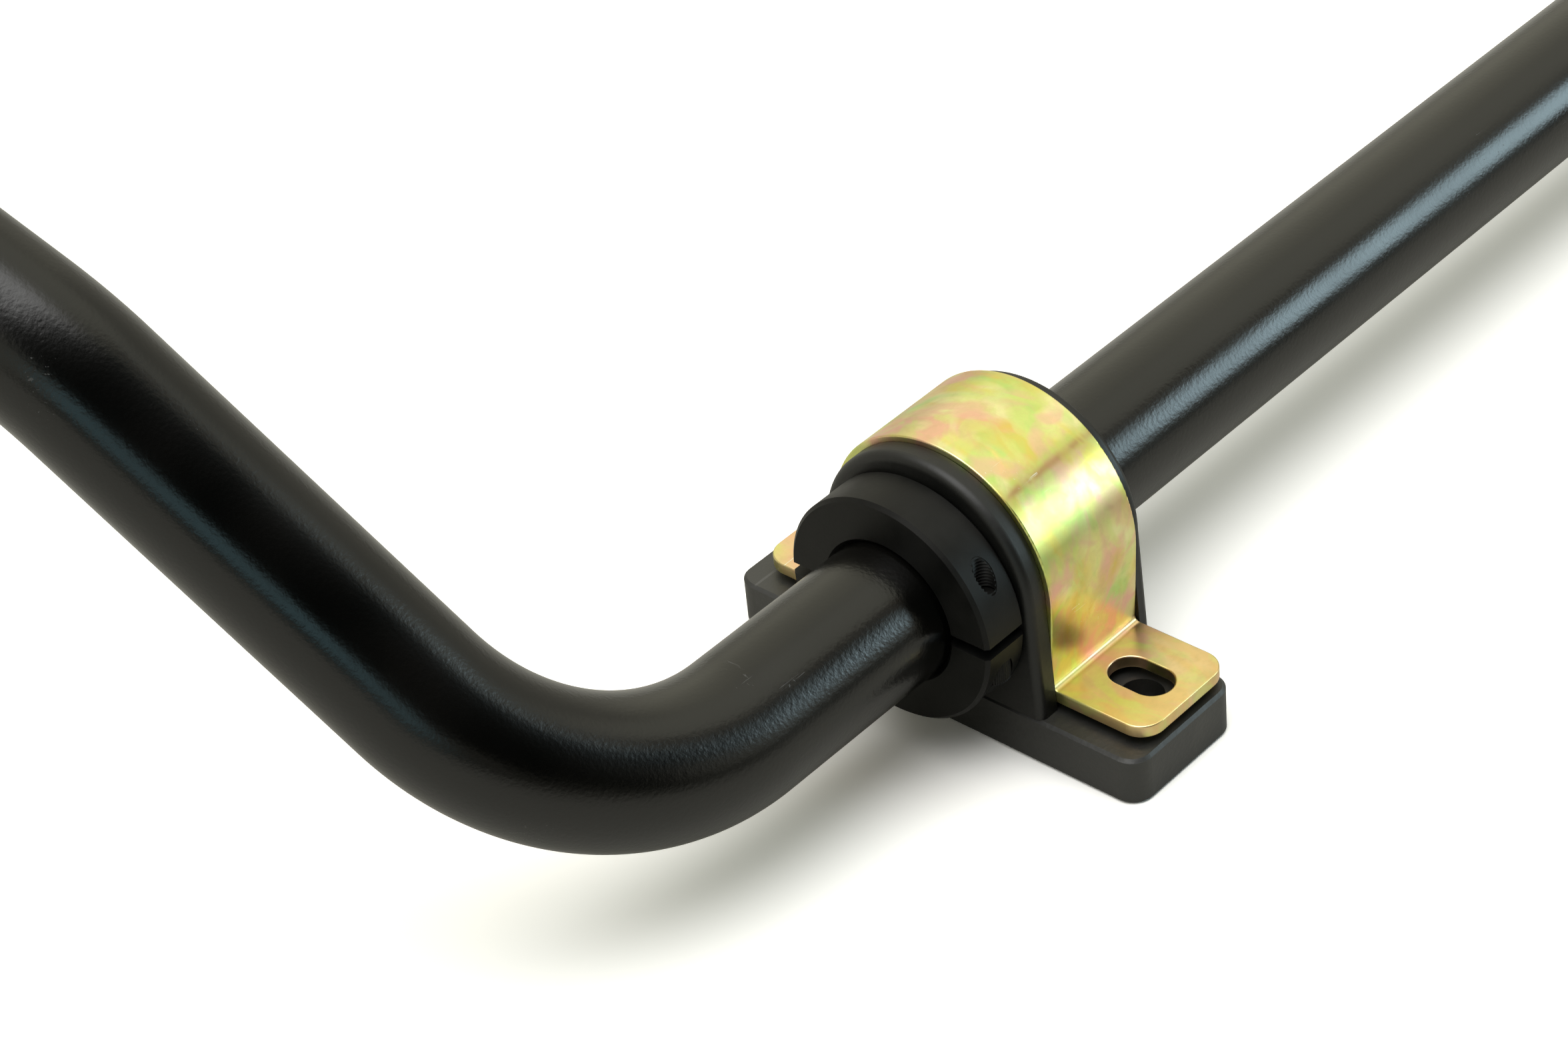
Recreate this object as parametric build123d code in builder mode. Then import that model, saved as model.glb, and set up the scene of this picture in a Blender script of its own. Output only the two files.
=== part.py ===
"""Automotive sway bar: a round bar with cranked arms, two D-bush mounts and two shaft collars.

The bar's straight length lies along X and its arms reach towards +Y. The origin is in the
plane under both base plates, halfway between the mounts, and +Z points up. Millimetres.
"""
import os
from math import cos, radians, sin, tan

from build123d import *

os.makedirs("parts", exist_ok=True)

# ---- Driving dimensions ----
BAR_DIA = 32.0
AXIS_HEIGHT = 36.0       # bar's axis above the underside of the base plates
MOUNT_HALF_SPAN = 320.0  # from the middle of the bar to the middle of each strap

# Arms: a first bend away from the straight length, then a second that lays the arm flatter
BEND_START = 77.5        # from the middle of the strap to the start of the first bend
BEND_RADIUS = 57.0
BEND_TURN = 76.5         # degrees, 90 would be square to the bar
ARM_RISE = 47.7          # degrees above the mounting plane, before the second bend
SECOND_RISE = 34.7       # and after it
SECOND_RADIUS = 80.0
ARM_RUN = 84.0           # straight run between the two bends
ARM_END_RUN = 78.0       # straight run after the second bend, up to the forged eye

# Forged eye at the end of each arm
EYE_NECK = 42.0          # length over which the round bar is forged flat
NECK_WIDTH = 38.0
NECK_THICK = 14.6
EYE_WIDTH = 44.0
EYE_THICK = 15.0
EYE_REACH = 50.0         # from the end of the round bar to the eye's hole
EYE_HOLE_DIA = 12.5
EYE_EDGE = 2.5

# Strap, bent from flat steel
STRAP_WIDTH = 28.6
STRAP_THICK = 3.0
ARCH_RADIUS = 29.2       # outside of the arch
ARCH_LIFT = 2.6          # arch's centre above the bar's axis
LEG_LEAN = 3.0           # degrees that each leg leans in
EAR_TOP = 16.5           # above the underside of the base plate
EAR_REACH = 52.6         # from the middle of the strap to the tip of each ear
EAR_CORNER = 5.5
EAR_BEND = 1.4           # inside radius between the leg and the ear
SLOT_LENGTH = 15.2
SLOT_WIDTH = 9.7
SLOT_PLACE = 40.4        # from the middle of the strap to the middle of each slot
STRAP_EDGE = 0.35

# Base plate, with a clearance hole under each slot
PLATE_THICK = 11.7
PLATE_WIDTH = 34.0
PLATE_FRONT = 53.8       # from the bar to the plate's front end
PLATE_REAR = 56.8        # and to its rear end
PLATE_SHIFT = 2.6        # the plate stands this much further out along the bar than the strap
PLATE_CORNER = 5.0
PLATE_EDGE = 0.7
PLATE_HOLE_DIA = 9.7

# D bush, moulded with a lip on each side of the strap
BUSH_OUTER = 19.5        # from the middle of the strap to the outboard face
BUSH_INNER = 17.9        # and to the inboard face
LIP_RADIUS = 27.8
LIP_ROUND = 1.9
LIP_FOOT = 29.3          # half width of each lip where it stands on the plate
RUNNING_GAP = 0.05       # radial clearance between the bar and the bush
BUSH_SLIT = 0.8
GROOVE_DEPTH = 0.8       # two grease grooves round the bore
GROOVE_WIDTH = 2.5
GROOVE_PLACE = 8.0
STRAP_CLEAR = 0.1        # between the bush and the inside of the strap

# Two-piece clamping collar
COLLAR_DIA = 53.0
COLLAR_WIDTH = 12.0
COLLAR_GAP = 2.7         # between the two halves
COLLAR_OFFSET = 19.8     # from the middle of the strap to the collar's inboard face
COLLAR_EDGE = 0.8
COLLAR_BORE_EDGE = 1.0
SCREW_PLACE = 21.6       # from the bar's axis to each screw
SCREW_DIA = 5.0
SCREW_LENGTH = 16.0
HEAD_DIA = 8.5
HEAD_HEIGHT = 5.0
HEAD_SEAT = 5.5          # seat below the bar's axis
COUNTERBORE_DIA = 9.2
SCREW_CLEAR_DIA = 5.5
HEX_SOCKET = 4.0         # across flats
HEX_DEPTH = 2.5

bar_r = BAR_DIA / 2
arch_z = AXIS_HEIGHT + ARCH_LIFT
strap_inner = ARCH_RADIUS - STRAP_THICK


def unit(rise):
    """Direction of the left arm at a given rise above the mounting plane."""
    outward = cos(radians(BEND_TURN))
    return Vector(-outward, sin(radians(BEND_TURN)) * cos(radians(rise)),
                  sin(radians(BEND_TURN)) * sin(radians(rise)))


# ---- Bar: swept round, with forged eyes ----
arm_one = unit(ARM_RISE)
arm_two = unit(SECOND_RISE)
second_turn = arm_one.get_angle(arm_two)
first_tangent = BEND_RADIUS * tan(radians(BEND_TURN / 2))
second_tangent = SECOND_RADIUS * tan(radians(second_turn / 2))
corner_one = Vector(-(MOUNT_HALF_SPAN + BEND_START + first_tangent), 0, AXIS_HEIGHT)
corner_two = corner_one + arm_one * (first_tangent + ARM_RUN + second_tangent)
arm_tip = corner_two + arm_two * (second_tangent + ARM_END_RUN)
eye_normal = Vector(1, 0, 0).cross(arm_two).normalized()
eye_plane = Plane(origin=arm_tip, x_dir=arm_two.cross(eye_normal), z_dir=arm_two)
eye_centre = arm_tip + arm_two * EYE_REACH
flat_plane = Plane(origin=eye_centre, x_dir=arm_two, z_dir=eye_normal)

with BuildPart() as bar:
    with BuildSketch(flat_plane.offset(-EYE_THICK / 2)):
        Circle(EYE_WIDTH / 2)
    extrude(amount=EYE_THICK)
    fillet(bar.edges().filter_by(GeomType.CIRCLE), EYE_EDGE)
    with BuildSketch(eye_plane):
        Circle(bar_r)
    with BuildSketch(eye_plane.offset(EYE_NECK)):
        Ellipse(NECK_WIDTH / 2, NECK_THICK / 2)
    loft()
    with BuildLine():
        FilletPolyline((0, 0, AXIS_HEIGHT), corner_one, corner_two, arm_tip,
                       radius=[BEND_RADIUS, SECOND_RADIUS])
    with BuildSketch(Plane(origin=(0, 0, AXIS_HEIGHT), x_dir=(0, 1, 0), z_dir=(-1, 0, 0))):
        Circle(bar_r)
    sweep()
    with BuildSketch(flat_plane.offset(-EYE_THICK)):
        Circle(EYE_HOLE_DIA / 2)
    extrude(amount=2 * EYE_THICK, mode=Mode.SUBTRACT)
    mirror(about=Plane.YZ)
bar.part.label = "bar"
export_step(bar.part, "parts/bar.step")


# ---- Mounts: base plate, strap and bush; the collar and its screws stand outboard ----
def make_base_plate(mount_x, side):
    """Thick flat spacer that the bush and both ears stand on."""
    with BuildPart() as plate:
        with BuildSketch(Plane.XY):
            with Locations((mount_x + side * PLATE_SHIFT, (PLATE_REAR - PLATE_FRONT) / 2)):
                RectangleRounded(PLATE_WIDTH, PLATE_REAR + PLATE_FRONT, PLATE_CORNER)
        extrude(amount=PLATE_THICK)
        rims = plate.edges().group_by(Axis.Z)
        chamfer(rims[0] + rims[-1], PLATE_EDGE)
        with Locations((mount_x, -SLOT_PLACE, PLATE_THICK), (mount_x, SLOT_PLACE, PLATE_THICK)):
            Hole(PLATE_HOLE_DIA / 2)
    return plate.part


def make_strap(mount_x):
    """U strap: an arch over the bush, with a slotted ear on each side."""
    lean = radians(LEG_LEAN)
    ear_low = EAR_TOP - STRAP_THICK
    legs = []
    for radius, foot_z in ((ARCH_RADIUS, EAR_TOP), (strap_inner, ear_low)):
        shoulder = (radius * cos(lean), arch_z - radius * sin(lean))
        foot = (shoulder[0] - (shoulder[1] - foot_z) * tan(lean), foot_z)
        legs.append((shoulder, foot))
    (outer, outer_foot), (inner, inner_foot) = legs
    with BuildPart() as strap:
        with BuildSketch(Plane.YZ.offset(mount_x)):
            with BuildLine():
                ThreePointArc(outer, (0, arch_z + ARCH_RADIUS), (-outer[0], outer[1]))
                ThreePointArc(inner, (0, arch_z + strap_inner), (-inner[0], inner[1]))
                for way in (-1, 1):
                    Line((way * outer[0], outer[1]), (way * outer_foot[0], EAR_TOP))
                    Polyline((way * outer_foot[0], EAR_TOP), (way * EAR_REACH, EAR_TOP),
                             (way * EAR_REACH, ear_low), (way * inner_foot[0], ear_low))
                    Line((way * inner[0], inner[1]), (way * inner_foot[0], ear_low))
            make_face()
        extrude(amount=STRAP_WIDTH / 2, both=True)
        feet = strap.edges().filter_by(Axis.X)
        creases = feet.filter_by(lambda edge: abs(abs(edge.center().Y) - outer_foot[0]) < 0.01
                                 and abs(edge.center().Z - EAR_TOP) < 0.01)
        fillet(creases, EAR_BEND)
        feet = strap.edges().filter_by(Axis.X)
        knees = feet.filter_by(lambda edge: abs(abs(edge.center().Y) - inner_foot[0]) < 0.01
                               and abs(edge.center().Z - ear_low) < 0.01)
        fillet(knees, EAR_BEND + STRAP_THICK)
        fillet(strap.edges().filter_by(Axis.Z), EAR_CORNER)
        with BuildSketch(Plane.XY.offset(EAR_TOP)):
            with Locations((mount_x, -SLOT_PLACE), (mount_x, SLOT_PLACE)):
                SlotOverall(SLOT_LENGTH, SLOT_WIDTH, rotation=90)
        extrude(amount=-STRAP_THICK, mode=Mode.SUBTRACT)
        sides = strap.faces().filter_by(Axis.X)
        fillet(sides.edges(), STRAP_EDGE)
    return strap.part


def make_bush(mount_x, side):
    """D bush: a plain core under the strap and a rounded lip on each side of it."""
    lean = radians(LEG_LEAN)
    core_r = strap_inner - STRAP_CLEAR
    shoulder = (core_r * cos(lean), arch_z - core_r * sin(lean))
    foot = shoulder[0] - (shoulder[1] - PLATE_THICK) * tan(lean)
    ends = (mount_x + side * BUSH_OUTER, mount_x - side * BUSH_INNER)
    low_x, high_x = min(ends), max(ends)
    strap_half = STRAP_WIDTH / 2 + STRAP_CLEAR
    with BuildPart() as bush:
        with BuildSketch(Plane.YZ.offset(low_x)):
            with BuildLine():
                ThreePointArc(shoulder, (0, arch_z + core_r), (-shoulder[0], shoulder[1]))
                Polyline((-shoulder[0], shoulder[1]), (-foot, PLATE_THICK),
                         (foot, PLATE_THICK), shoulder)
            make_face()
        extrude(amount=high_x - low_x)
        for lip_x, lip_end in ((low_x, mount_x - strap_half), (mount_x + strap_half, high_x)):
            with BuildSketch(Plane.YZ.offset(lip_x)):
                with BuildLine():
                    ThreePointArc((LIP_RADIUS, arch_z), (0, arch_z + LIP_RADIUS),
                                  (-LIP_RADIUS, arch_z))
                    Polyline((-LIP_RADIUS, arch_z), (-LIP_FOOT, PLATE_THICK),
                             (LIP_FOOT, PLATE_THICK), (LIP_RADIUS, arch_z))
                make_face()
            extrude(amount=lip_end - lip_x)
        faces = bush.faces().sort_by(Axis.X)
        crests = faces[0].edges() + faces[-1].edges()
        fillet(crests.filter_by(lambda edge: edge.center().Z > PLATE_THICK + 1), LIP_ROUND)
        with BuildSketch(Plane.YZ.offset(low_x)):
            with Locations((0, AXIS_HEIGHT)):
                Circle(bar_r + RUNNING_GAP)
            with Locations((0, AXIS_HEIGHT / 2)):
                Rectangle(BUSH_SLIT, AXIS_HEIGHT)
        extrude(amount=high_x - low_x, mode=Mode.SUBTRACT)
        for groove_x in (mount_x - GROOVE_PLACE, mount_x + GROOVE_PLACE):
            with BuildSketch(Plane.YZ.offset(groove_x)):
                with Locations((0, AXIS_HEIGHT)):
                    Circle(bar_r + GROOVE_DEPTH)
            extrude(amount=GROOVE_WIDTH / 2, both=True, mode=Mode.SUBTRACT)
    return bush.part


def make_collar_half(mount_x, side, way):
    """Half of the clamping collar: threaded above the bar (way 1), counterbored below (way -1)."""
    ends = (mount_x + side * COLLAR_OFFSET, mount_x + side * (COLLAR_OFFSET + COLLAR_WIDTH))
    middle_x = sum(ends) / 2
    with BuildPart() as half:
        with BuildSketch(Plane.YZ.offset(min(ends))):
            with Locations((0, AXIS_HEIGHT)):
                Circle(COLLAR_DIA / 2)
                Circle(bar_r, mode=Mode.SUBTRACT)
        extrude(amount=COLLAR_WIDTH)
        rims = half.edges().filter_by(GeomType.CIRCLE).sort_by(lambda edge: edge.radius)
        chamfer(rims[:2], COLLAR_BORE_EDGE)
        rims = half.edges().filter_by(GeomType.CIRCLE).sort_by(lambda edge: edge.radius)
        chamfer(rims[-2:], COLLAR_EDGE)
        cut = Plane.XY.offset(AXIS_HEIGHT + way * COLLAR_GAP / 2)
        split(bisect_by=cut, keep=Keep.TOP if way > 0 else Keep.BOTTOM)
        hole_dia = SCREW_DIA if way > 0 else SCREW_CLEAR_DIA
        with BuildSketch(cut):
            with Locations((middle_x, -SCREW_PLACE), (middle_x, SCREW_PLACE)):
                Circle(hole_dia / 2)
        extrude(amount=way * COLLAR_DIA / 2, mode=Mode.SUBTRACT)
        if way < 0:
            with BuildSketch(Plane.XY.offset(AXIS_HEIGHT - HEAD_SEAT)):
                with Locations((middle_x, -SCREW_PLACE), (middle_x, SCREW_PLACE)):
                    Circle(COUNTERBORE_DIA / 2)
            extrude(amount=-COLLAR_DIA / 2, mode=Mode.SUBTRACT)
    return half.part


def make_collar_screw(mount_x, side, y):
    """Socket head cap screw, fitted from below with its head in the counterbore."""
    middle_x = mount_x + side * (COLLAR_OFFSET + COLLAR_WIDTH / 2)
    seat = Plane(origin=(middle_x, y, AXIS_HEIGHT - HEAD_SEAT))
    with BuildPart() as screw:
        with BuildSketch(seat):
            Circle(SCREW_DIA / 2)
        extrude(amount=SCREW_LENGTH)
        chamfer(screw.edges().group_by(Axis.Z)[-1], SCREW_DIA / 10)
        with BuildSketch(seat):
            Circle(HEAD_DIA / 2)
        extrude(amount=-HEAD_HEIGHT)
        chamfer(screw.edges().group_by(Axis.Z)[0], HEAD_DIA / 20)
        with BuildSketch(seat.offset(-HEAD_HEIGHT)):
            RegularPolygon(HEX_SOCKET / 2, 6, major_radius=False)
        extrude(amount=HEX_DEPTH, mode=Mode.SUBTRACT)
    return screw.part


for name, side in (("left", -1), ("right", 1)):
    mount_x = side * MOUNT_HALF_SPAN
    pieces = {
        "base_plate": make_base_plate(mount_x, side),
        "strap": make_strap(mount_x),
        "bush": make_bush(mount_x, side),
        "collar_upper": make_collar_half(mount_x, side, 1),
        "collar_lower": make_collar_half(mount_x, side, -1),
        "collar_screw_front": make_collar_screw(mount_x, side, -SCREW_PLACE),
        "collar_screw_rear": make_collar_screw(mount_x, side, SCREW_PLACE),
    }
    for piece_name, piece in pieces.items():
        piece.label = f"{name}_{piece_name}"
        export_step(piece, f"parts/{piece.label}.step")
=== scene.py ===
import math

import bpy
from mathutils import Matrix, Vector


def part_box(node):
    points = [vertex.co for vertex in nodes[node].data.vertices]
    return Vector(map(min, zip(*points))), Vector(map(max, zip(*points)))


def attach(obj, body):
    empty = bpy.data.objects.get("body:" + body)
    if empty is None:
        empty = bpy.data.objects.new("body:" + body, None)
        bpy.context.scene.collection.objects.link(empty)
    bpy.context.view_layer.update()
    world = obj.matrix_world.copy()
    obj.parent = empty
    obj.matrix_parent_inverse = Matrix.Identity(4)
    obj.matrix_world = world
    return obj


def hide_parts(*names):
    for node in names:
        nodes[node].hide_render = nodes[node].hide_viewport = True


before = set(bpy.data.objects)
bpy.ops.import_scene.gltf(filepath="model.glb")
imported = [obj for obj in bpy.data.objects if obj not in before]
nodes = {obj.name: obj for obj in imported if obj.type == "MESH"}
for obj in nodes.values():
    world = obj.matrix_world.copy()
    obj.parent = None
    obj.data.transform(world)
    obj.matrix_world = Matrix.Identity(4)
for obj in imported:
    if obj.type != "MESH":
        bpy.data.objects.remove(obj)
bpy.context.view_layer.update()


# ---- Bar ----
# One length of round spring steel, bent cold and powder coated satin black. The coat is thick,
# so it has a fine orange peel, and it carries a few pale rubs from handling.
def start_material(name):
    """A Principled material, and the object's own coordinates to lay its pattern out on."""
    material = bpy.data.materials.new(name)
    material.use_nodes = True
    tree = material.node_tree
    place = tree.nodes.new("ShaderNodeTexCoord").outputs["Object"]
    return material, tree, tree.nodes["Principled BSDF"], place


def add_noise(tree, place, scale, detail=3.0, rough=0.5, twist=0.0):
    """Noise texture whose grain is about one metre divided by scale."""
    noise = tree.nodes.new("ShaderNodeTexNoise")
    noise.inputs["Scale"].default_value = scale
    noise.inputs["Detail"].default_value = detail
    noise.inputs["Roughness"].default_value = rough
    noise.inputs["Distortion"].default_value = twist
    tree.links.new(place, noise.inputs["Vector"])
    return noise.outputs["Fac"]


def add_ramp(tree, value, stops):
    """Colour ramp with the given (position, colour) stops; a plain number is a grey."""
    ramp = tree.nodes.new("ShaderNodeValToRGB")
    while len(ramp.color_ramp.elements) < len(stops):
        ramp.color_ramp.elements.new(0.5)
    for element, (position, colour) in zip(ramp.color_ramp.elements, stops):
        grey = isinstance(colour, (int, float))
        element.position = position
        element.color = (colour, colour, colour, 1) if grey else (*colour, 1)
    tree.links.new(value, ramp.inputs["Fac"])
    return ramp.outputs["Color"]


def add_math(tree, operation, first, second):
    """Math node on two values, each a socket or a number."""
    node = tree.nodes.new("ShaderNodeMath")
    node.operation = operation
    for socket, value in zip(node.inputs, (first, second)):
        if isinstance(value, (int, float)):
            socket.default_value = value
        else:
            tree.links.new(value, socket)
    return node.outputs["Value"]


def add_mix(tree, factor, first, second):
    """Mix of two colours, each a socket or a triple."""
    node = tree.nodes.new("ShaderNodeMix")
    node.data_type = "RGBA"
    tree.links.new(factor, node.inputs["Factor"])
    for socket, value in ((node.inputs[6], first), (node.inputs[7], second)):
        if isinstance(value, tuple):
            socket.default_value = (*value, 1)
        else:
            tree.links.new(value, socket)
    return node.outputs[2]


def add_range(tree, value, start, end):
    """0 where value is at start, 1 at end, and smooth between them."""
    node = tree.nodes.new("ShaderNodeMapRange")
    node.interpolation_type = "SMOOTHSTEP"
    node.inputs["From Min"].default_value = start
    node.inputs["From Max"].default_value = end
    tree.links.new(value, node.inputs["Value"])
    return node.outputs["Result"]


def add_bump(tree, shader, height, strength, depth):
    """Raises the surface by up to depth metres where height is 1."""
    bump = tree.nodes.new("ShaderNodeBump")
    bump.inputs["Strength"].default_value = strength
    bump.inputs["Distance"].default_value = depth
    tree.links.new(height, bump.inputs["Height"])
    tree.links.new(bump.outputs["Normal"], shader.inputs["Normal"])


def start_group(name, inputs, outputs):
    """An empty shader node group with named float or vector inputs and float outputs."""
    group = bpy.data.node_groups.new(name, "ShaderNodeTree")
    for label, kind, value in inputs:
        socket = group.interface.new_socket(label, in_out="INPUT", socket_type=kind)
        if value is not None:
            socket.default_value = value
    for label in outputs:
        group.interface.new_socket(label, in_out="OUTPUT", socket_type="NodeSocketFloat")
    fittings = group.nodes
    return group, fittings.new("NodeGroupInput").outputs, fittings.new("NodeGroupOutput").inputs


def use_group(tree, group, place, **values):
    """The group placed in a material, with its own values, and its outputs."""
    node = tree.nodes.new("ShaderNodeGroup")
    node.node_tree = group
    tree.links.new(place, node.inputs["Place"])
    for label, value in values.items():
        node.inputs[label].default_value = value
    return node.outputs


# Orange peel: the shallow ripple of a baked coat, with a finer grain over it
orange_peel, peel_in, peel_out = start_group(
    "Orange peel",
    [("Place", "NodeSocketVector", None), ("Scale", "NodeSocketFloat", 600.0)],
    ["Height"])
ripple = add_noise(orange_peel, peel_in["Place"], 1.0, detail=1.5)
orange_peel.links.new(peel_in["Scale"], ripple.node.inputs["Scale"])
grain = add_noise(orange_peel, peel_in["Place"], 1.0, detail=2.0)
finer = add_math(orange_peel, "MULTIPLY", peel_in["Scale"], 3.1)
orange_peel.links.new(finer, grain.node.inputs["Scale"])
small = add_math(orange_peel, "MULTIPLY", grain, 0.25)
orange_peel.links.new(add_math(orange_peel, "ADD", ripple, small), peel_out["Height"])

# Rubs: thin scratches in two directions, in scattered patches
rubs, rub_in, rub_out = start_group(
    "Handling rubs",
    [("Place", "NodeSocketVector", None), ("Scale", "NodeSocketFloat", 60.0),
     ("Spread", "NodeSocketFloat", 0.5)],
    ["Mask"])
scratches = []
for turn, stretch in ((0.5, (0.25, 9.0, 9.0)), (-0.9, (7.0, 0.3, 7.0))):
    turned = rubs.nodes.new("ShaderNodeMapping")
    turned.inputs["Rotation"].default_value = (turn, turn * 0.7, turn)
    turned.inputs["Scale"].default_value = stretch
    rubs.links.new(rub_in["Place"], turned.inputs["Vector"])
    lines = add_noise(rubs, turned.outputs["Vector"], 1.0, detail=4.0, rough=0.6)
    rubs.links.new(rub_in["Scale"], lines.node.inputs["Scale"])
    scratches.append(add_ramp(rubs, lines, [(0.0, 0.0), (0.66, 0.0), (0.70, 1.0)]))
either = add_math(rubs, "MAXIMUM", scratches[0], scratches[1])
patches = add_noise(rubs, rub_in["Place"], 28.0, detail=2.0)
where = add_math(rubs, "LESS_THAN", patches, rub_in["Spread"])
rubs.links.new(add_math(rubs, "MULTIPLY", either, where), rub_out["Mask"])

bar_coat, tree, shader, place = start_material("Bar powder coat")
cloud = add_noise(tree, place, 35.0)
rubbed = use_group(tree, rubs, place, Scale=160.0, Spread=0.33)["Mask"]
peel = use_group(tree, orange_peel, place, Scale=1100.0)["Height"]
base = add_ramp(tree, cloud, [(0.35, (0.0010, 0.0011, 0.0009)), (0.7, (0.0024, 0.0022, 0.0018))])
colour = add_mix(tree, rubbed, base, (0.045, 0.045, 0.045))
tree.links.new(colour, shader.inputs["Base Color"])
satin = add_ramp(tree, cloud, [(0.3, 0.20), (0.7, 0.25)])
tree.links.new(add_mix(tree, rubbed, satin, (0.42, 0.42, 0.42)), shader.inputs["Roughness"])
add_bump(tree, shader, peel, 0.38, 0.00010)
shader.inputs["Specular IOR Level"].default_value = 0.55

BAR_RADIUS = 0.016
BAR_SIDES = 96
AXIS_HEIGHT = 0.036
BEND_START = 0.0775          # from the middle of a strap to the first bend
BEND_RADIUS = 0.057
BEND_TURN = math.radians(76.5)
ARM_RISE = math.radians(47.7)
SECOND_RISE = math.radians(34.7)
SECOND_RADIUS = 0.080
ARM_RUN = 0.084
ARM_END_RUN = 0.078
NECK_LENGTH = 0.042
NECK_HALF = (0.019, 0.0073)  # half width and half thickness where the neck meets the eye
EYE_REACH = 0.050
EYE_RADIUS = 0.022
EYE_THICK = 0.015
EYE_HOLE_RADIUS = 0.00625
EYE_EDGE = 0.0025
EYE_EDGE_STEPS = 5
BEND_STEPS = 72
SECOND_STEPS = 16

low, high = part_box("left_strap")
mount = Vector(((low.x + high.x) / 2, 0, AXIS_HEIGHT))


def arm_direction(rise):
    """Direction of the left arm where it climbs at the given rise."""
    across = math.sin(BEND_TURN)
    return Vector((-math.cos(BEND_TURN), across * math.cos(rise), across * math.sin(rise)))


def select_where(piece, test):
    """Selects, in edit mode, the corners of a piece that pass a test on their place."""
    bpy.ops.mesh.select_all(action="DESELECT")
    bpy.ops.object.mode_set(mode="OBJECT")
    for corner in piece.data.vertices:
        corner.select = test(piece.matrix_world @ corner.co)
    bpy.ops.object.mode_set(mode="EDIT")


def extrude_by(move):
    """Extrudes what is selected along a vector."""
    bpy.ops.mesh.extrude_region_move(TRANSFORM_OT_translate={"value": move})


def cut_with(piece, tool, operation):
    """Joins or cuts a piece with a closed tool, and removes the tool."""
    modifier = piece.modifiers.new(tool.name, "BOOLEAN")
    modifier.operation = operation
    modifier.solver = "EXACT"
    modifier.object = tool
    bpy.context.view_layer.objects.active = piece
    bpy.ops.object.modifier_apply(modifier=modifier.name)
    bpy.data.objects.remove(tool)


def settle(piece, degrees=30):
    """Applies the piece's place, turns its faces outwards and smooths its round parts."""
    bpy.ops.object.select_all(action="DESELECT")
    piece.select_set(True)
    bpy.context.view_layer.objects.active = piece
    bpy.ops.object.transform_apply(location=True, rotation=True, scale=True)
    bpy.ops.object.mode_set(mode="EDIT")
    bpy.ops.mesh.select_all(action="SELECT")
    bpy.ops.mesh.remove_doubles(threshold=0.000002)
    bpy.ops.mesh.normals_make_consistent(inside=False)
    bpy.ops.object.mode_set(mode="OBJECT")
    bpy.ops.object.shade_smooth_by_angle(angle=math.radians(degrees))


# The left half starts as a ring at the arm's tip. One end is drawn out into the flat neck, and
# the other is extruded and spun back round both bends to the middle of the bar. The half is
# then mirrored, and each eye is joined on and drilled.
arm_one = arm_direction(ARM_RISE)
arm_two = arm_direction(SECOND_RISE)
second_turn = arm_one.angle(arm_two)
first_tangent = BEND_RADIUS * math.tan(BEND_TURN / 2)
second_tangent = SECOND_RADIUS * math.tan(second_turn / 2)
corner_one = mount + Vector((-(BEND_START + first_tangent), 0, 0))
corner_two = corner_one + arm_one * (first_tangent + ARM_RUN + second_tangent)
arm_tip = corner_two + arm_two * (second_tangent + ARM_END_RUN)
eye_normal = Vector((1, 0, 0)).cross(arm_two).normalized()
eye_turn = Matrix((eye_normal.cross(arm_two), eye_normal, arm_two)).transposed()

bpy.ops.object.select_all(action="DESELECT")
bpy.ops.mesh.primitive_circle_add(
    vertices=BAR_SIDES, radius=BAR_RADIUS, location=arm_tip, rotation=eye_turn.to_euler())
bar = bpy.context.object
bar.name = "bar_body"
bpy.ops.object.mode_set(mode="EDIT")
extrude_by(arm_two * NECK_LENGTH)
bpy.ops.transform.resize(
    value=(NECK_HALF[0] / BAR_RADIUS, NECK_HALF[1] / BAR_RADIUS, 1), orient_type="LOCAL")
extrude_by(arm_two * (EYE_REACH - NECK_LENGTH))
bpy.ops.mesh.edge_face_add()
select_where(bar, lambda place: abs((place - arm_tip).dot(arm_two)) < 0.00001)
extrude_by(arm_two * -ARM_END_RUN)
for corner, before, after, radius, turn, steps in (
        (corner_two, arm_two, arm_one, SECOND_RADIUS, second_turn, SECOND_STEPS),
        (corner_one, arm_one, Vector((-1, 0, 0)), BEND_RADIUS, BEND_TURN, BEND_STEPS)):
    inward = (before - after).normalized()
    centre = corner + inward * radius / math.cos(turn / 2)
    bpy.ops.mesh.spin(steps=steps, angle=-turn, center=centre, axis=before.cross(after))
    if corner == corner_two:
        extrude_by(arm_one * -ARM_RUN)
extrude_by((-(mount.x - BEND_START), 0, 0))
bpy.ops.object.mode_set(mode="OBJECT")
bpy.ops.object.transform_apply(location=True, rotation=True, scale=True)
other_half = bar.modifiers.new("other_half", "MIRROR")
other_half.merge_threshold = 0.0001
bpy.ops.object.modifier_apply(modifier=other_half.name)
settle(bar)
for side in (-1, 1):
    eye_place = arm_tip + arm_two * EYE_REACH
    eye_place.x *= -side
    for radius, depth, operation in ((EYE_RADIUS, EYE_THICK, "UNION"),
                                     (EYE_HOLE_RADIUS, 2 * EYE_THICK, "DIFFERENCE")):
        bpy.ops.mesh.primitive_cylinder_add(
            vertices=BAR_SIDES, radius=radius, depth=depth, location=eye_place,
            rotation=eye_normal.to_track_quat("Z", "Y").to_euler())
        disc = bpy.context.object
        disc.name = "eye_tool"
        if operation == "UNION":
            rounding = disc.modifiers.new("rounding", "BEVEL")
            rounding.width = EYE_EDGE
            rounding.segments = EYE_EDGE_STEPS
            rounding.angle_limit = math.radians(60)
            bpy.ops.object.modifier_apply(modifier=rounding.name)
        cut_with(bar, disc, operation)
settle(bar)
bar.data.materials.append(bar_coat)
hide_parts("bar")
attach(bar, "bar")


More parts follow.
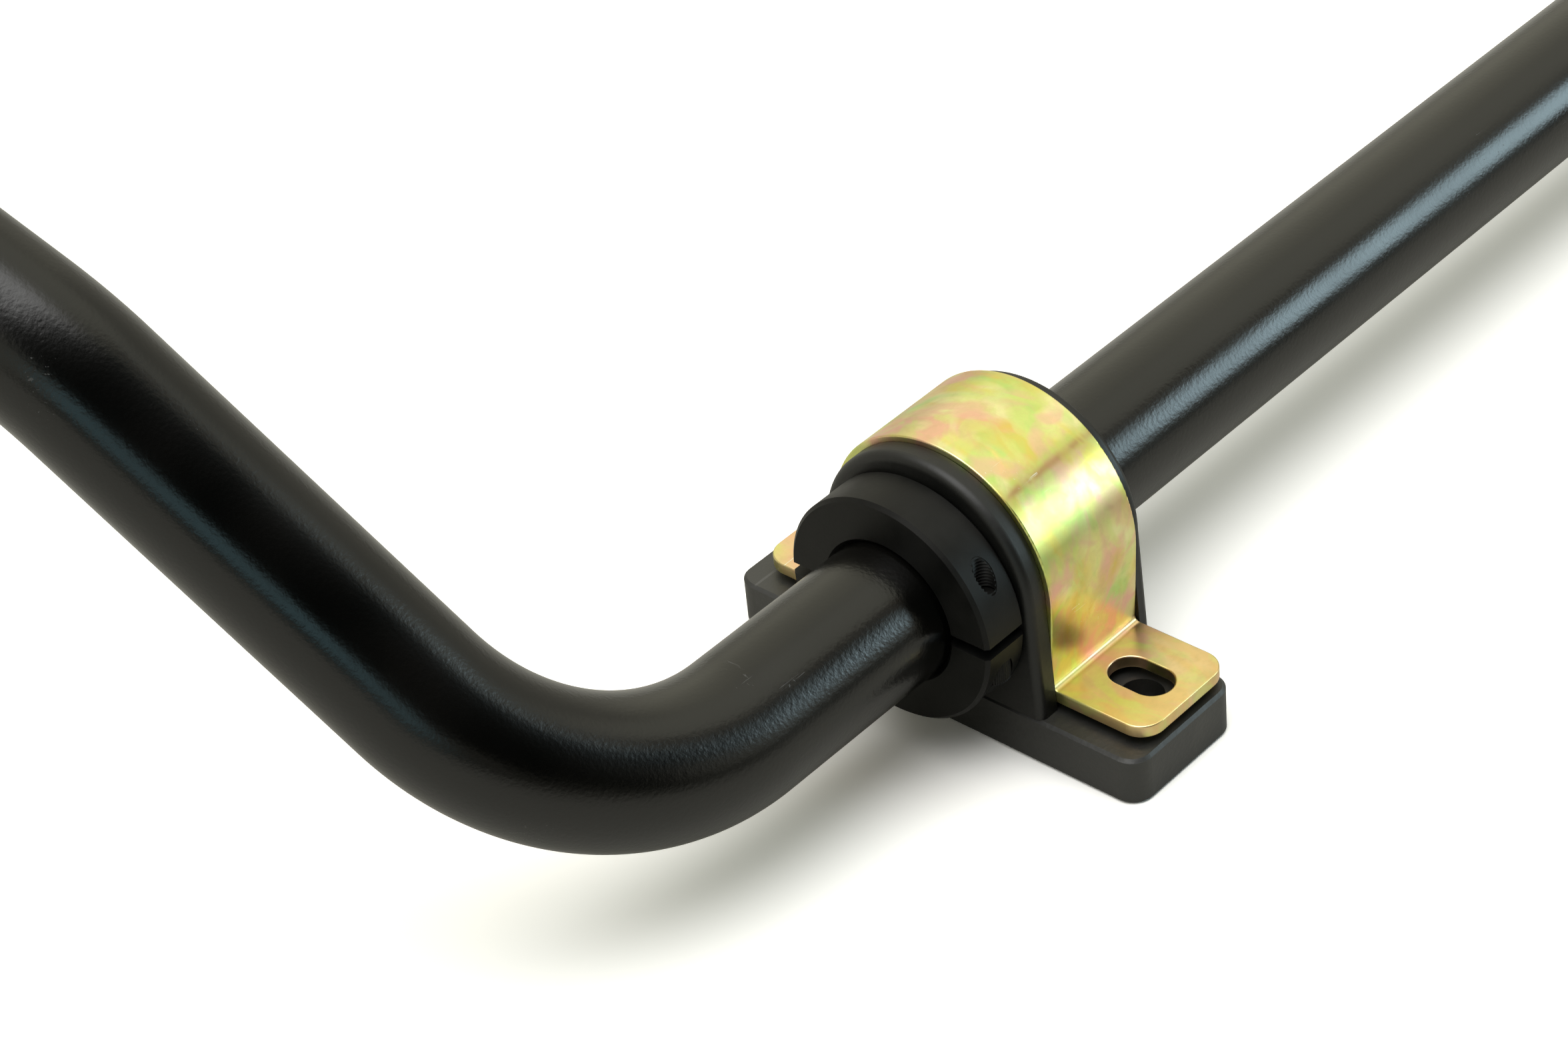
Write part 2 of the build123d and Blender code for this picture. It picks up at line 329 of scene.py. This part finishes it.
def finish_nodes(ending, material):
    """Gives the left and the right piece of one kind its material."""
    for side in ("left", "right"):
        node = nodes[f"{side}_{ending}"]
        node.data.materials.clear()
        node.data.materials.append(material)


# ---- Base plates ----
# Thick flat steel spacers that carry each mount, with a clearance hole under each slot of its
# strap. They are coated black like the bar, but duller.
plate_coat, tree, shader, place = start_material("Plate black coat")
peel = use_group(tree, orange_peel, place, Scale=800.0)["Height"]
rubbed = use_group(tree, rubs, place, Scale=60.0, Spread=0.40)["Mask"]
dust = add_noise(tree, place, 90.0, detail=5.0)
base = add_ramp(tree, dust, [(0.4, (0.0050, 0.0052, 0.0045)), (0.75, (0.0120, 0.0120, 0.0105))])
tree.links.new(add_mix(tree, rubbed, base, (0.04, 0.04, 0.04)), shader.inputs["Base Color"])
tree.links.new(add_ramp(tree, dust, [(0.3, 0.42), (0.7, 0.55)]), shader.inputs["Roughness"])
add_bump(tree, shader, peel, 0.4, 0.00015)
shader.inputs["Specular IOR Level"].default_value = 0.9
finish_nodes("base_plate", plate_coat)


# ---- Bushes ----
# Polyurethane D bushes, moulded smooth and black. A rounded lip each side of the strap keeps
# the bush from walking out of it.
bush_black, tree, shader, place = start_material("Bush polyurethane")
bloom = add_noise(tree, place, 60.0, detail=4.0)
base = add_ramp(tree, bloom, [(0.35, (0.0025, 0.0028, 0.0024)), (0.7, (0.0060, 0.0060, 0.0050))])
tree.links.new(base, shader.inputs["Base Color"])
tree.links.new(add_ramp(tree, bloom, [(0.3, 0.38), (0.7, 0.52)]), shader.inputs["Roughness"])
add_bump(tree, shader, add_noise(tree, place, 900.0, detail=2.0), 0.3, 0.0001)
finish_nodes("bush", bush_black)


# ---- Straps ----
# Bent flat steel, plated with zinc and dipped in yellow chromate, whose film breaks into
# patches of gold, olive and rose.
GOLD = (0.90, 0.78, 0.20)
PALE_GOLD = (0.96, 0.92, 0.46)
OLD_GOLD = (0.84, 0.64, 0.14)
OLIVE = (0.62, 0.80, 0.24)
LIME = (0.80, 0.85, 0.28)
ROSE = (0.95, 0.58, 0.40)
DEEP_ROSE = (0.95, 0.54, 0.42)
WARM = (0.98, 0.56, 0.40)
MOTTLE = (0.60, 0.50, 0.20)
BARE_ZINC = (0.98, 0.95, 0.80)
FOOT_TOP = 0.030             # the warm film fades out here and is full at the foot
FOOT = 0.010
REFLECTION_LINE_START = -0.005      # how far in front of the bar the painted dark reflection on the shoulder starts
REFLECTION_LINE_FULL = -0.010            # and where it is full
zinc, tree, shader, place = start_material("Strap yellow zinc")


def add_film(scale, twist, drift, low_edge, high_edge):
    """Soft patches of one tint in the chromate film, drawn out a little along the strap's bend."""
    drawn = tree.nodes.new("ShaderNodeMapping")
    drawn.inputs["Location"].default_value = drift
    drawn.inputs["Scale"].default_value = (1.0, 0.62, 0.70)
    drawn.inputs["Rotation"].default_value = (0.0, 0.35, 0.25)
    tree.links.new(place, drawn.inputs["Vector"])
    cloud = add_noise(tree, drawn.outputs["Vector"], scale, detail=3.0, rough=0.45, twist=twist)
    return add_ramp(tree, cloud, [(low_edge, 0.0), (high_edge, 1.0)])


hue = add_mix(tree, add_film(60.0, 0.9, (0.0, 0.0, 0.0), 0.42, 0.58), GOLD, PALE_GOLD)
hue = add_mix(tree, add_film(85.0, 0.8, (0.3, 0.1, 0.2), 0.46, 0.60), hue, OLIVE)
hue = add_mix(tree, add_film(75.0, 1.1, (0.75, 0.2, 0.4), 0.50, 0.63), hue, ROSE)
hue = add_mix(tree, add_film(110.0, 0.6, (0.2, 0.8, 0.5), 0.50, 0.74), hue, OLD_GOLD)

# The film is warmer towards the feet. A thin brown line with a green edge along the front shoulder
# of the arch is a painted reflection of the dark gap above the window, not a mark in the film.
# Each line is given by the height of its middle and its half width.
parts = tree.nodes.new("ShaderNodeSeparateXYZ")
tree.links.new(place, parts.inputs["Vector"])
height, depth = parts.outputs["Z"], parts.outputs["Y"]
warm = add_math(tree, "MULTIPLY", add_range(tree, height, FOOT_TOP, FOOT), 0.60)
hue = add_mix(tree, warm, hue, WARM)
lime = add_math(tree, "MULTIPLY", add_film(125.0, 1.2, (0.15, 0.75, 0.35), 0.48, 0.60), 0.6)
hue = add_mix(tree, lime, hue, LIME)
rose = add_math(tree, "MULTIPLY", add_film(105.0, 0.9, (0.55, 0.10, 0.80), 0.52, 0.64), 0.6)
hue = add_mix(tree, rose, hue, DEEP_ROSE)
# Painted reflection: a dark brown line with a green edge on the front shoulder, broken up by film
# patches, stands in for the dark gap above the window.
front = add_math(tree, "MULTIPLY", add_range(tree, depth, REFLECTION_LINE_START, REFLECTION_LINE_FULL), 0.8)
broken_reflection = add_math(tree, "MULTIPLY", front, add_film(140.0, 0.5, (0.4, 0.6, 0.2), 0.36, 0.52))
for middle, half, tint in (
        (0.0624, 0.0011, (0.66, 0.74, 0.20)),
        (0.0614, 0.0010, (0.60, 0.34, 0.16))):
    rising = add_range(tree, height, middle - half, middle)
    falling = add_range(tree, height, middle + half, middle)
    painted_reflection = add_math(tree, "MULTIPLY", broken_reflection, add_math(tree, "MULTIPLY", rising, falling))
    hue = add_mix(tree, painted_reflection, hue, tint)
fine = add_noise(tree, place, 300.0, detail=5.0, rough=0.65, twist=0.3)
mottled = add_mix(tree, add_ramp(tree, fine, [(0.45, 0.0), (0.90, 0.5)]), hue, MOTTLE)
rubbed = use_group(tree, rubs, place, Scale=150.0, Spread=0.40)["Mask"]
tree.links.new(add_mix(tree, rubbed, mottled, BARE_ZINC), shader.inputs["Base Color"])
shader.inputs["Metallic"].default_value = 1.0
tree.links.new(add_ramp(tree, fine, [(0.3, 0.28), (0.7, 0.36)]), shader.inputs["Roughness"])
add_bump(tree, shader, add_noise(tree, place, 420.0, detail=4.0, rough=0.55), 0.12, 0.00006)
finish_nodes("strap", zinc)


# ---- Collars ----
# Two-piece clamping collars of turned steel, black oxide finished, that keep the bar from
# sliding through its mounts.
oxide, tree, shader, place = start_material("Collar black oxide")
mottle = add_noise(tree, place, 130.0, detail=4.0)
base = add_ramp(tree, mottle, [(0.35, (0.0045, 0.0046, 0.0042)), (0.7, (0.0100, 0.0098, 0.0088))])
tree.links.new(base, shader.inputs["Base Color"])
shader.inputs["Metallic"].default_value = 0.4
tree.links.new(add_ramp(tree, mottle, [(0.3, 0.40), (0.7, 0.54)]), shader.inputs["Roughness"])
add_bump(tree, shader, add_noise(tree, place, 1500.0, detail=2.0), 0.25, 0.00005)
shader.inputs["Specular IOR Level"].default_value = 0.30
finish_nodes("collar_lower", oxide)
finish_nodes("collar_upper", oxide)

THREAD_PITCH = 0.0008
THREAD_DEPTH = 0.00035
THREAD_SIDES = 32
TAPPED_RADIUS = 0.0025
COLLAR_RADIUS = 0.0265
COLLAR_SIDES = 192
CREST_LENGTH = 0.008         # of each ring of crests, before the collar's outside trims it
WALL_BITE = 0.00003          # how far the crests reach into the wall of their hole


def make_thread(name, place, length, radius):
    """A closed upright stud, ridged along its length, that serves as a shank and as a tap."""
    bpy.ops.object.select_all(action="DESELECT")
    bpy.ops.mesh.primitive_circle_add(
        vertices=THREAD_SIDES, radius=radius - THREAD_DEPTH, fill_type="NGON", location=place)
    stud = bpy.context.object
    stud.name = name
    bpy.ops.object.mode_set(mode="EDIT")
    bpy.ops.mesh.select_all(action="SELECT")
    wider = radius / (radius - THREAD_DEPTH)
    for _ in range(round(length / THREAD_PITCH)):
        for scale in (wider, 1 / wider):
            extrude_by((0, 0, THREAD_PITCH / 2))
            bpy.ops.transform.resize(value=(scale, scale, 1))
    bpy.ops.object.mode_set(mode="OBJECT")
    settle(stud)
    return stud


# The upper halves are tapped right through. The crests of each thread stand on the wall of the
# plain hole, from the screw's tip up to the collar's round outside.
for side in ("left", "right"):
    for way in ("front", "rear"):
        low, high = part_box(f"{side}_collar_screw_{way}")
        tip = Vector(((low.x + high.x) / 2, (low.y + high.y) / 2, high.z + THREAD_PITCH / 4))
        bpy.ops.object.select_all(action="DESELECT")
        bpy.ops.mesh.primitive_cylinder_add(
            vertices=THREAD_SIDES, radius=TAPPED_RADIUS + WALL_BITE, depth=CREST_LENGTH,
            location=tip + Vector((0, 0, CREST_LENGTH / 2)))
        crests = bpy.context.object
        crests.name = f"{side}_collar_thread_{way}"
        tap = make_thread("tap", tip - Vector((0, 0, THREAD_PITCH)), CREST_LENGTH * 1.25,
                          TAPPED_RADIUS - WALL_BITE)
        cut_with(crests, tap, "DIFFERENCE")
        bpy.ops.mesh.primitive_cylinder_add(
            vertices=COLLAR_SIDES, radius=COLLAR_RADIUS - 4 * WALL_BITE, depth=0.02,
            location=(tip.x, 0, AXIS_HEIGHT), rotation=(0, math.radians(90), 0))
        outside = bpy.context.object
        outside.name = "outside"
        cut_with(crests, outside, "INTERSECT")
        settle(crests)
        crests.data.materials.append(oxide)
        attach(crests, "bar")


# ---- Collar screws ----
# Socket head cap screws of alloy steel, black oxide, with knurled heads. They are fitted from
# below, so their heads sit in the counterbores of the lower halves.
HEAD_RADIUS = 0.00425
HEAD_HEIGHT = 0.005
HEAD_RIM = HEAD_RADIUS * 0.1
KNURL = 0.00012
SHANK_START = HEAD_HEIGHT * 0.8
SCREW_RADIUS = 0.0025
SOCKET_ACROSS = 0.004
SOCKET_DEPTH = 0.0025
low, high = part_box("left_collar_screw_front")
screw_place = Vector(((low.x + high.x) / 2, (low.y + high.y) / 2, low.z))

bpy.ops.object.select_all(action="DESELECT")
bpy.ops.mesh.primitive_cylinder_add(
    vertices=48, radius=HEAD_RADIUS, depth=HEAD_HEIGHT,
    location=screw_place + Vector((0, 0, HEAD_HEIGHT / 2)))
screw = bpy.context.object
screw.name = "cap_screw"
bpy.ops.object.mode_set(mode="EDIT")
bpy.ops.mesh.select_mode(type="FACE")
bpy.ops.mesh.select_all(action="DESELECT")
bpy.ops.object.mode_set(mode="OBJECT")
for face in screw.data.polygons:
    face.select = face.normal.z < -0.5
bpy.ops.object.mode_set(mode="EDIT")
bpy.ops.mesh.inset(thickness=HEAD_RIM)
bpy.ops.mesh.select_all(action="DESELECT")
bpy.ops.object.mode_set(mode="OBJECT")
for face in screw.data.polygons:
    face.select = abs(face.normal.z) < 0.1
bpy.ops.object.mode_set(mode="EDIT")
bpy.ops.mesh.inset(thickness=KNURL, depth=-KNURL, use_individual=True)
bpy.ops.mesh.select_mode(type="VERT")
bpy.ops.object.mode_set(mode="OBJECT")
shank = make_thread("shank", screw_place + Vector((0, 0, SHANK_START)),
                    high.z - low.z - SHANK_START, SCREW_RADIUS)
cut_with(screw, shank, "UNION")
bpy.ops.mesh.primitive_cylinder_add(
    vertices=6, radius=SOCKET_ACROSS / math.sqrt(3), depth=2 * SOCKET_DEPTH, location=screw_place)
socket = bpy.context.object
socket.name = "socket"
cut_with(screw, socket, "DIFFERENCE")
settle(screw)
screw.data.materials.append(oxide)
for side in ("left", "right"):
    for way in ("front", "rear"):
        low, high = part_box(f"{side}_collar_screw_{way}")
        copy = screw.copy()
        copy.data = screw.data.copy()
        copy.name = f"{side}_cap_screw_{way}"
        bpy.context.collection.objects.link(copy)
        copy.location = Vector(((low.x + high.x) / 2, (low.y + high.y) / 2, low.z)) - screw_place
        settle(copy)
        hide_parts(f"{side}_collar_screw_{way}")
        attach(copy, "bar")
bpy.data.objects.remove(screw)


# ---- Stage ----
# A plain pale table, and a dim room with soft panels round the left mount. The table is
# brighter to the camera than in reflections, and in reflections its colour darkens towards the
# front as painted shade.
TABLE_SIZE = 24
bpy.ops.mesh.primitive_plane_add(size=TABLE_SIZE, location=(0, 0, 0))
table = bpy.context.object
table.name = "table"
paper, tree, shader, place = start_material("Table white")
apart = tree.nodes.new("ShaderNodeSeparateXYZ")
tree.links.new(place, apart.inputs["Vector"])
# Painted shade: the table's colour darkens towards the front. Only reflections and bounce light
# see it; the camera sees the washed diffuse.
reflected_front_shade = add_range(tree, apart.outputs["Y"], -0.50, -0.05)
reflected_front_shade = add_mix(tree, reflected_front_shade, (0.05, 0.05, 0.04), (0.48, 0.47, 0.43))
tree.links.new(reflected_front_shade, shader.inputs["Base Color"])
shader.inputs["Roughness"].default_value = 0.9
shader.inputs["Specular IOR Level"].default_value = 0.0
washed = tree.nodes.new("ShaderNodeBsdfDiffuse")
washed.inputs["Color"].default_value = (1.25, 1.24, 1.22, 1)
sight = tree.nodes.new("ShaderNodeLightPath")
either_way = tree.nodes.new("ShaderNodeMixShader")
tree.links.new(sight.outputs["Is Camera Ray"], either_way.inputs["Fac"])
tree.links.new(shader.outputs["BSDF"], either_way.inputs[1])
tree.links.new(washed.outputs["BSDF"], either_way.inputs[2])
tree.links.new(either_way.outputs["Shader"], tree.nodes["Material Output"].inputs["Surface"])
table.data.materials.append(paper)

# The room is a warm grey tent, with a broad panel overhead, a bright window low on the right,
# and black cloths in front of the arm. The camera itself sees plain white past the table.
room = bpy.data.worlds.new("Room")
bpy.context.scene.world = room
room.use_nodes = True
air = room.node_tree
look = air.nodes.new("ShaderNodeTexCoord").outputs["Generated"]


def add_patch(direction, inner, outer):
    """1 within inner degrees of a direction, falling smoothly to 0 at outer degrees."""
    toward = air.nodes.new("ShaderNodeVectorMath")
    toward.operation = "DOT_PRODUCT"
    toward.inputs[1].default_value = Vector(direction).normalized()
    air.links.new(look, toward.inputs[0])
    cosines = [math.cos(math.radians(angle)) for angle in (outer, inner)]
    return add_range(air, toward.outputs["Value"], *cosines)


BLACK = (0.0, 0.0, 0.0)
light = (0.52, 0.50, 0.41)
for direction, inner, outer, colour in (
        ((-0.24, -0.14, 1.00), 12, 48, (3.7, 3.7, 3.62)),
        ((0.60, 0.53, 0.60), 15, 35, (0.96, 0.93, 0.74)),
        ((0.62, -0.18, 0.76), 8, 26, (1.02, 1.00, 0.82)),
        ((-0.10, -0.84, 0.53), 22, 36, BLACK),
        ((0.30, -0.78, 0.56), 10, 23, BLACK),
        ((-0.48, -0.78, 0.38), 12, 26, BLACK),
        ((-0.55, -0.62, 0.56), 12, 28, BLACK),
        ((-0.05, -0.98, 0.20), 14, 28, BLACK),
        ((0.60, -0.50, 0.62), 1, 6, (0.16, 0.09, 0.05)),
        ((0.66, -0.64, 0.40), 2, 8, (1.7, 2.0, 2.0)),
        ((0.73, -0.64, 0.24), 5, 14, (4.8, 6.4, 7.0)),
        ((-0.84, -0.54, 0.05), 6, 16, (0.55, 0.95, 1.05))):
    light = add_mix(air, add_patch(direction, inner, outer), light, colour)
tent = air.nodes["Background"]
air.links.new(light, tent.inputs["Color"])
backdrop = air.nodes.new("ShaderNodeBackground")
backdrop.inputs["Color"].default_value = (1.0, 1.0, 1.0, 1)
seen = air.nodes.new("ShaderNodeLightPath")
choice = air.nodes.new("ShaderNodeMixShader")
air.links.new(seen.outputs["Is Camera Ray"], choice.inputs["Fac"])
air.links.new(tent.outputs["Background"], choice.inputs[1])
air.links.new(backdrop.outputs["Background"], choice.inputs[2])
air.links.new(choice.outputs["Shader"], air.nodes["World Output"].inputs["Surface"])


# The camera looks down at the left mount and the bend beside it, from in front and outside.
CAMERA_FROM_MOUNT = Vector((-0.4853, -0.4274, 0.4874))
CAMERA_TURN = (53.27, 5.02, -48.66)
bpy.ops.object.camera_add(location=mount + CAMERA_FROM_MOUNT)
camera = bpy.context.object
camera.rotation_euler = [math.radians(degrees) for degrees in CAMERA_TURN]
camera.data.sensor_width = 36
camera.data.lens = 88.15
camera.data.clip_start = 0.01
bpy.context.scene.camera = camera
bpy.context.scene.view_settings.view_transform = "Standard"
